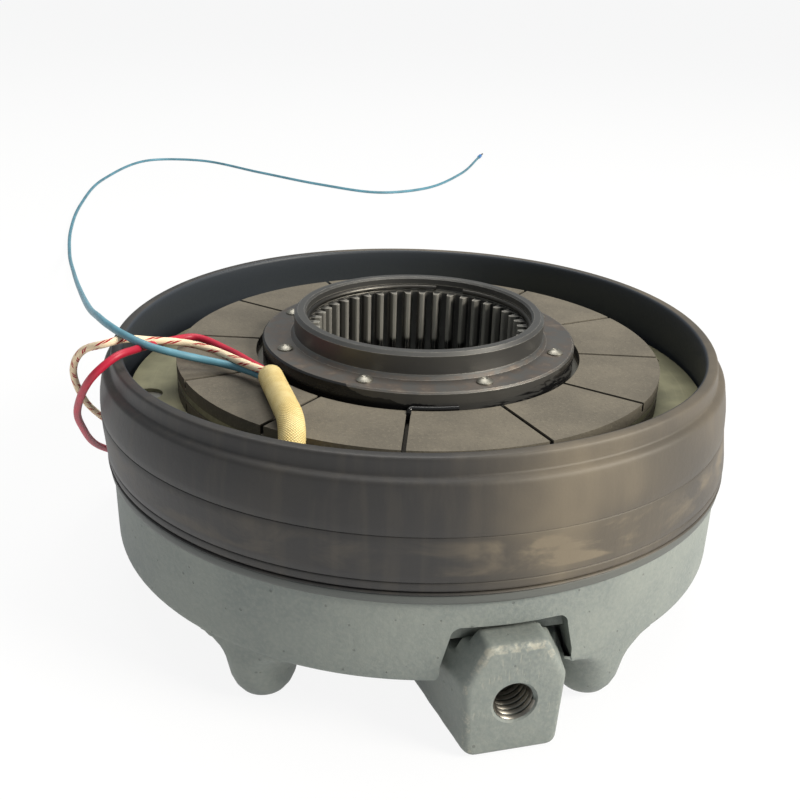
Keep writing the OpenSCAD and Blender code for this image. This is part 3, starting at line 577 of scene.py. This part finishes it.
# Depth, middle and spread of the places where the collar is pressed in, stands up and sags
PRESSED_IN = (3.0, -18, 38)
STANDS_UP = (1.3, -75, 36)
SAGS = (2.2, 175, 42)


def near(angle, depth, middle, width):
    """depth at the middle angle, fading away from it; angles in degrees."""
    return depth * exp(-(((angle - middle + 180) % 360 - 180) / width) ** 2)


def ring_of(section, steps):
    """A bmesh of a closed section in millimetres, spun all the way round the shaft."""
    bm = bmesh.new()
    corners = [bm.verts.new((r * MM, 0, z * MM)) for r, z in section]
    rim = [bm.edges.new((a, b)) for a, b in zip(corners, corners[1:] + corners[:1])]
    bmesh.ops.spin(bm, geom=corners + rim, cent=(0, 0, 0), axis=(0, 0, 1), angle=tau, steps=steps, use_merge=True)
    bmesh.ops.remove_doubles(bm, verts=bm.verts, dist=1e-7)
    bmesh.ops.recalc_face_normals(bm, faces=bm.faces)
    return bm


def to_mesh(bm, name):
    """A mesh of a bmesh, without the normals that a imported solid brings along."""
    mesh = bpy.data.meshes.new(name)
    bm.to_mesh(mesh)
    bm.free()
    old = mesh.attributes.get("custom_normal")
    if old:
        mesh.attributes.remove(old)
    return mesh


def make_collar():
    bm = ring_of(COLLAR_SECTION, COLLAR_STEPS)
    inside = bm.verts.layers.float.new("inside")
    for v in bm.verts:
        angle = atan2(v.co.y, v.co.x) * 180 / pi
        height = v.co.z / MM
        r = sqrt(v.co.x ** 2 + v.co.y ** 2) / MM
        v[inside] = float(r < LIP_INSIDE or (r < WALL_INSIDE and height < LIP_FROM))
        shrink = 1 - near(angle, *PRESSED_IN) * swing((height + 6) / 18) / r
        rise = (near(angle, *STANDS_UP) - near(angle, *SAGS)) * swing((height - 2) / 24)
        v.co = (v.co.x * shrink, v.co.y * shrink, v.co.z + rise * MM)
    collar = show("rubber_collar", to_mesh(bm, "rubber_collar"), rubber(), smooth=True, sharp=60)
    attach(collar, "magnet")
    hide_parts("sealing_collar")


make_collar()


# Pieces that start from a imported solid
def solid_copy(name):
    """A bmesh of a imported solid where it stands, with its seams closed."""
    bm = bmesh.new()
    bm.from_mesh(nodes[name].data)
    bm.transform(nodes[name].matrix_world)
    bmesh.ops.remove_doubles(bm, verts=bm.verts, dist=1e-6)
    return bm


# The lever's flanks widen from its front towards the shaft
FLANK_FROM = -97.2
FLANK_SLOPE = 0.18

# Cast feet: each widens into the rim, flush with the outside and clear of the lever
FOOT_CIRCLE = 82.5
FOOT_ANGLES = (-133, -70, 47, 110)
FOOT_PROFILE = [
    (0, 0), (2.2, 0), (4.4, 0.7), (6.3, 2.0), (7.7, 4.0), (8.7, 6.5), (9.3, 9.5), (9.9, 12.5), (10.7, 15),
    (11.9, 17), (14.0, 18.3), (16.4, 19.0), (18, 20), (18, 20.8)]
FOOT_OUTSIDE = 92.2
FOOT_FROM_LEVER = 14.45


def make_feet(paint):
    bm = bmesh.new()
    for turn in FOOT_ANGLES:
        ax, ay = FOOT_CIRCLE * cos(radians(turn)), FOOT_CIRCLE * sin(radians(turn))
        line = [bm.verts.new(((ax + r) * MM, ay * MM, (FLOOR + h) * MM)) for r, h in FOOT_PROFILE]
        edges = [bm.edges.new(pair) for pair in zip(line, line[1:])]
        bmesh.ops.spin(bm, geom=line + edges, cent=(ax * MM, ay * MM, 0), axis=(0, 0, 1), angle=tau, steps=56,
                       use_merge=True)
    for v in bm.verts:
        out = sqrt(v.co.x ** 2 + v.co.y ** 2) / MM
        if out > FOOT_OUTSIDE:
            v.co.x *= FOOT_OUTSIDE / out
            v.co.y *= FOOT_OUTSIDE / out
        flank = (FOOT_FROM_LEVER + FLANK_SLOPE * (v.co.y / MM - FLANK_FROM)) * MM
        if 0 < v.co.x < flank:
            v.co.x = flank
    bmesh.ops.remove_doubles(bm, verts=bm.verts, dist=1e-6)
    bmesh.ops.recalc_face_normals(bm, faces=bm.faces)
    feet = show("cast_feet", to_mesh(bm, "cast_feet"), paint, smooth=True, sharp=50)
    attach(feet, "magnet")


# Housing casting: the round of the solid's lower edge is pushed out until it is nearly square
EDGE_R = 5
EDGE_OUT = 87.5
EDGE_Z = -27.5
EDGE_POWER = 0.3


def make_housing(paint):
    bm = solid_copy("magnet_body")
    for v in bm.verts:
        r = sqrt(v.co.x ** 2 + v.co.y ** 2)
        out, down = r / MM - EDGE_OUT, EDGE_Z - v.co.z / MM
        if out > 0.02 and down > 0.02 and abs(sqrt(out ** 2 + down ** 2) - EDGE_R) < 0.06:
            turn = atan2(down, out)
            grow = (EDGE_OUT + EDGE_R * cos(turn) ** EDGE_POWER) * MM / r
            v.co = (v.co.x * grow, v.co.y * grow, (EDGE_Z - EDGE_R * sin(turn) ** EDGE_POWER) * MM)
    housing = show("cast_housing", to_mesh(bm, "cast_housing"), paint, smooth=True, sharp=35)
    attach(housing, "magnet")
    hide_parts("magnet_body")


# Brake springs at the length they have with the plate pulled in, clear of it at every pose
PRESSED_SHARE = 0.945


def make_springs(steel):
    bm = solid_copy("brake_springs")
    foot = min(v.co.z for v in bm.verts)
    for v in bm.verts:
        v.co.z = foot + (v.co.z - foot) * PRESSED_SHARE
    springs = show("pressed_springs", to_mesh(bm, "pressed_springs"), steel, smooth=True, sharp=40)
    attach(springs, "magnet")
    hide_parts("brake_springs")


# Lever: its end is drawn as rings from the bore outwards and back; the fork keeps the solid's shape
LEVER_FRONT = -98.2
BLOCK_BACK = -90.2
FORK_FROM = -66
LEVER_TOP = -18.6
TOP_FALL = 6.6
SHOULDER_Z = -29.6
LEVER_BOTTOM = -50.9
HALF_SHOULDER = 13.3
HALF_CROWN = 7.8
BORE_Z = -35.5
# Bore from its blind end to its mouth, each ring with its radius and place
BORE_RINGS = [(5.15, -77), (5.15, -97.3), (6.0, LEVER_FRONT)]
# Stations from the front to the fork, each with how far its outline is drawn in
LEVER_STATIONS = [
    (LEVER_FRONT, 2.1), (-98.05, 1.25), (-97.6, 0.55), (-96.9, 0.15), (-96, 0), (-93, 0), (BLOCK_BACK, 0),
    (-88.2, 0), (-86.2, 0), (-78, 0), (-65, 0)]
# Thread of the bore: its section as radius and place along the bore, its pitch and its turns
THREAD_SECTION = [(5.2, -0.8), (4.62, -0.1), (4.62, 0.1), (5.2, 0.8)]
THREAD_FROM = -97.5
THREAD_PITCH = 1.75
THREAD_TURNS = 7


def rounded(corners, inset, count=6):
    """Points round a convex outline, each corner (x, z, radius) rounded, the whole drawn in by inset."""
    ring = []
    for i, (x, z, r) in enumerate(corners):
        tip = Vector((x, z))
        a = (Vector(corners[i - 1][:2]) - tip).normalized()
        b = (Vector(corners[(i + 1) % len(corners)][:2]) - tip).normalized()
        half = a.angle(b) / 2
        inward = (a + b).normalized()
        r = max(0.3, r - inset)
        tip = tip + inward * (inset / sin(half))
        centre = tip + inward * (r / sin(half))
        arm = tip + a * (r / tan(half)) - centre
        for k in range(count + 1):
            ring.append(centre + Matrix.Rotation((pi - 2 * half) * k / count, 2) @ arm)
    return ring


def lever_outline(y):
    """Corners of the lever's section at y: its flanks widen towards the shaft, its top falls behind the end."""
    fall = min(1.0, max(0.0, (y - BLOCK_BACK) / 4))
    shoulder = HALF_SHOULDER + FLANK_SLOPE * max(0.0, y - FLANK_FROM)
    foot = shoulder - 1.1
    crown = HALF_CROWN + (shoulder - 0.9 - HALF_CROWN) * fall
    top = LEVER_TOP - TOP_FALL * fall
    return [(-foot, LEVER_BOTTOM, 3.4), (foot, LEVER_BOTTOM, 2.8), (shoulder, SHOULDER_Z, 3 - 2 * fall),
            (crown, top, 2 - fall), (-crown, top, 2 - fall), (-shoulder, SHOULDER_Z, 3 - 2 * fall)]


def seen_from_bore(ring, turns):
    """Where rays from the bore's middle, at the given turns, meet a ring of points (x, z)."""
    marks = sorted((atan2(q.y - BORE_Z, q.x), q.x, q.y - BORE_Z) for q in ring)
    marks = [(marks[-1][0] - tau, *marks[-1][1:])] + marks + [(marks[0][0] + tau, *marks[0][1:])]
    sides = list(zip(marks, marks[1:]))
    found = []
    for turn in turns:
        (_, px, pz), (_, qx, qz) = next(pair for pair in sides if pair[0][0] <= turn <= pair[1][0])
        reach = (px * qz - pz * qx) / (cos(turn) * (qz - pz) - sin(turn) * (qx - px))
        found.append((reach * cos(turn), reach * sin(turn) + BORE_Z))
    return found


def make_lever(paint):
    bm = solid_copy("release_lever")
    bmesh.ops.bisect_plane(bm, geom=bm.verts[:] + bm.edges[:] + bm.faces[:], plane_co=(0, FORK_FROM * MM, 0),
                           plane_no=(0, 1, 0), clear_inner=True)
    turns = [radians(3 * i - 180) for i in range(120)]
    lines = [[(r * cos(a), y, r * sin(a) + BORE_Z) for a in turns] for r, y in BORE_RINGS]
    for y, inset in LEVER_STATIONS:
        lines.append([(x, y, z) for x, z in seen_from_bore(rounded(lever_outline(y), inset), turns)])
    rings = [[bm.verts.new(Vector(q) * MM) for q in line] for line in lines]
    for first, second in zip(rings, rings[1:]):
        for i in range(len(first)):
            bm.faces.new((first[i - 1], first[i], second[i], second[i - 1]))
    bm.faces.new(rings[0])
    bm.faces.new(rings[-1])
    bmesh.ops.recalc_face_normals(bm, faces=bm.faces)
    lever = show("cast_lever", to_mesh(bm, "cast_lever"), paint, smooth=True, sharp=32)
    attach(lever, "lever")
    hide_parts("release_lever")


def make_thread(steel):
    bm = bmesh.new()
    corners = [bm.verts.new((r * MM, (THREAD_FROM + along) * MM, BORE_Z * MM)) for r, along in THREAD_SECTION]
    edges = [bm.edges.new(pair) for pair in zip(corners, corners[1:])]
    steps = 36
    bmesh.ops.spin(bm, geom=corners + edges, cent=(0, 0, BORE_Z * MM), axis=(0, 1, 0),
                   dvec=(0, THREAD_PITCH / steps * MM, 0), angle=tau * THREAD_TURNS, steps=THREAD_TURNS * steps)
    bmesh.ops.recalc_face_normals(bm, faces=bm.faces)
    thread = show("lever_thread", to_mesh(bm, "lever_thread"), steel, smooth=True, sharp=40)
    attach(thread, "lever")


# Bead of sealing paint that runs along the foot of the flange and turns into the front slot
BEAD = 1.6
BEAD_R = 47.9
BEAD_Z = 20.55
FRONT_SLOT = -107.7
SLOT_Z = 20.1


def make_bead():
    arc = [(BEAD_R * cos(radians(a)), BEAD_R * sin(radians(a)), BEAD_Z) for a in range(-92, -108, -1)]
    slot = [(r * cos(radians(FRONT_SLOT)), r * sin(radians(FRONT_SLOT)), SLOT_Z) for r in (48.6, 50, 51.5)]
    paint = moulded("sealing_paint", (15, 15, 16), 0.2)
    bead = tube("sealing_bead", smooth_line(arc + slot, 0.4), BEAD * MM, paint, sides=4)
    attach(bead, "disc")


make_bead()


# Finishes of the solids that keep their own shape, then the pieces that share them
def dress():
    wear = {
        "magnet_body": cast_paint("housing_paint", False),
        "pressure_plate": turned_plate(),
        "lower_lining": friction_lining(),
        "spline_hub": hub_steel(),
        "hub_rivets": bright_metal("rivet_steel", (158, 155, 145), 0.4),
        "retaining_ring": bright_metal("ring_steel", (92, 90, 86), 0.34),
        "lining_carrier": bright_metal("carrier_steel", (150, 148, 140), 0.4),
        "release_studs": bright_metal("stud_steel", (186, 184, 176), 0.3),
        "brake_springs": bright_metal("spring_steel", (120, 118, 114), 0.35),
        "coil_bobbin": moulded("bobbin_resin", (60, 58, 54)),
        "coil_winding": bright_metal("coil_copper", (184, 110, 70), 0.35),
        "coil_potting": moulded("potting_resin", (44, 42, 40)),
        "cable_grommet": moulded("grommet_rubber", (34, 33, 32), 0.5),
        "lead_coil_ties": moulded("tie_nylon", (30, 30, 31), 0.45),
        "blue_ferrule_collar": moulded("ferrule_sleeve", (64, 132, 204), 0.35),
        "blue_ferrule_tip": bright_metal("ferrule_tin", (196, 194, 188), 0.32),
    }
    wear["upper_lining"] = wear["lower_lining"]
    wear["guide_pins"] = wear["release_nuts"] = wear["release_washers"] = wear["release_studs"]
    for tint in ("red", "white"):
        for end in ("collar", "tip"):
            wear[f"{tint}_ferrule_{end}"] = wear["blue_ferrule_" + end]
    for name, finish in wear.items():
        mesh = nodes[name].data
        mesh.materials.clear()
        mesh.materials.append(finish)
    make_housing(wear["magnet_body"])
    make_feet(wear["magnet_body"])
    make_springs(wear["brake_springs"])
    make_lever(cast_paint("lever_paint", True))
    make_thread(bright_metal("thread_steel", (150, 146, 138), 0.32))


dress()


# Plain pale floor that shows white with the brake's shadow on it, a hair below the feet
FLOOR_DROP = 0.2


def lay_floor():
    bm = bmesh.new()
    bmesh.ops.create_grid(bm, x_segments=2, y_segments=2, size=12)
    bmesh.ops.translate(bm, verts=bm.verts, vec=(0, 0, (FLOOR - FLOOR_DROP) * MM))
    f = Finish("pale_floor")
    f.set(color=(0.86, 0.86, 0.86), rough=0.9, specular=0.1)
    path = f.tree.nodes.new("ShaderNodeLightPath")
    seen = Flow(path.outputs["Is Camera Ray"]).math("MAXIMUM", Flow(path.outputs["Is Glossy Ray"]))
    seen = seen.math("MAXIMUM", Flow(path.outputs["Is Transmission Ray"]))
    glow = f.start.node("ShaderNodeEmission", None, {"Color": (1, 1, 1), "Strength": 1.0})
    blend = f.start.node("ShaderNodeMixShader", None, {0: seen * 0.9, 1: f.start, 2: glow})
    target = next(n for n in f.tree.nodes if n.type == "OUTPUT_MATERIAL")
    f.tree.links.new(blend.socket, target.inputs["Surface"])
    show("floor", to_mesh(bm, "floor"), f.material)


# Soft daylight all round, white where the camera sees it
def fill_room():
    world = bpy.data.worlds.new("studio")
    scene.world = world
    world.use_nodes = True
    tree = world.node_tree
    air = next(n for n in tree.nodes if n.type == "BACKGROUND")
    out = next(n for n in tree.nodes if n.type == "OUTPUT_WORLD")
    air.inputs["Color"].default_value = (0.92, 0.97, 1.0, 1)
    air.inputs["Strength"].default_value = 0.33
    start = Flow(air.outputs[0])
    seen = start.node("ShaderNodeLightPath", out="Is Camera Ray")
    white = start.node("ShaderNodeBackground", None, {"Color": (1, 1, 1), "Strength": 1.0})
    blend = start.node("ShaderNodeMixShader", None, {0: seen, 1: start, 2: white})
    tree.links.new(blend.socket, out.inputs["Surface"])


def lamp(name, place, size, power, tint):
    """A round soft light at a place in metres, aimed at the brake."""
    data = bpy.data.lights.new(name, "AREA")
    data.shape = "DISK"
    data.size = size
    data.energy = power
    data.color = tint
    light = bpy.data.objects.new(name, data)
    scene.collection.objects.link(light)
    aim = -Vector(place)
    light.matrix_world = Matrix.Translation(place) @ aim.to_track_quat("-Z", "Y").to_matrix().to_4x4()


lay_floor()
fill_room()
lamp("key_lamp", (0.76, -0.62, 0.6), 0.5, 18.5, (1.0, 0.95, 0.85))
lamp("top_lamp", (0.1, 0.35, 1.3), 1.1, 14, (1.0, 0.98, 0.94))
scene.view_settings.view_transform = "Standard"
